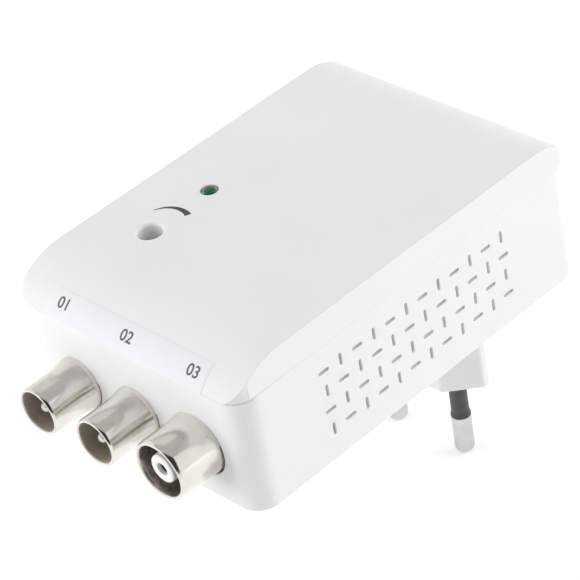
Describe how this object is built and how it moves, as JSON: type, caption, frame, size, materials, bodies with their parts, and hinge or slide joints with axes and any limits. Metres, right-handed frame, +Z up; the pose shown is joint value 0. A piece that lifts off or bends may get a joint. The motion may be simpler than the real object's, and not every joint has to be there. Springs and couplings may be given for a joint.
{
  "type": "plug-in aerial signal amplifier",
  "caption": "White plug-in aerial signal amplifier: rounded case on a two-pin mains plug, coaxial ports at the front, side vents, green light and a recessed gain trimmer in its cover.",
  "frame": {"origin": "centre of the plug block's end face, midway between the two mains pins", "axes": "+Z up out of the wall socket to the cover, +Y to the back of the case, so the ports face -Y and the vents +X and -X"},
  "size_m": [0.056, 0.0955, 0.0698],
  "materials": {
    "case_white": "fine satin moulding",
    "label": "smooth film",
    "nickel": "nickel plated",
    "black_plastic": "satin",
    "brown_plastic": "satin",
    "white_insulator": "satin",
    "contact_brass": "plated",
    "board_green": "varnished laminate",
    "tin": "tinned sheet",
    "ferrite": "ground ferrite",
    "trimmer_blue": "satin",
    "rotor_ivory": "satin",
    "led_green": "clear tinted",
    "winding_yellow": "film tape",
    "screw_steel": "zinc plated"
  },
  "bodies": {
    "case": {"base_shell": "case_white", "top_cover": "case_white", "port_label": "label", "plug_plinth": "case_white", "left_pin": "nickel", "right_pin": "nickel", "left_sleeve": "black_plastic", "right_sleeve": "black_plastic", "output_1_shell": "nickel", "output_1_insulator": "brown_plastic", "output_1_pin": "nickel", "output_2_shell": "nickel", "output_2_insulator": "brown_plastic", "output_2_pin": "nickel", "input_shell": "nickel", "input_insulator": "white_insulator", "input_socket": "contact_brass", "main_board": "board_green", "shield_frame": "tin", "shield_lid": "tin", "amplifier_chip": "black_plastic", "splitter_core": "ferrite", "trimmer_body": "trimmer_blue", "power_led": "led_green", "led_leads": "tin", "mains_links": "contact_brass", "fuse": "brown_plastic", "rectifier_diodes": "black_plastic", "bulk_capacitor": "black_plastic", "controller_chip": "black_plastic", "transformer_core": "ferrite", "transformer_bobbin": "winding_yellow", "safety_capacitor": "trimmer_blue", "output_capacitor": "black_plastic", "case_screws": "screw_steel", "board_screws": "screw_steel", "plinth_screws": "screw_steel"},
    "gain_rotor": {"trimmer_rotor": "rotor_ivory"}
  },
  "joints": [
    {"name": "gain_turn", "type": "hinge", "parent": "case", "child": "gain_rotor", "pos_m": [-0.0152, -0.0439, 0.0343], "axis": [0, 0, 1], "range_deg": [-117.5, 117.5]}
  ]
}
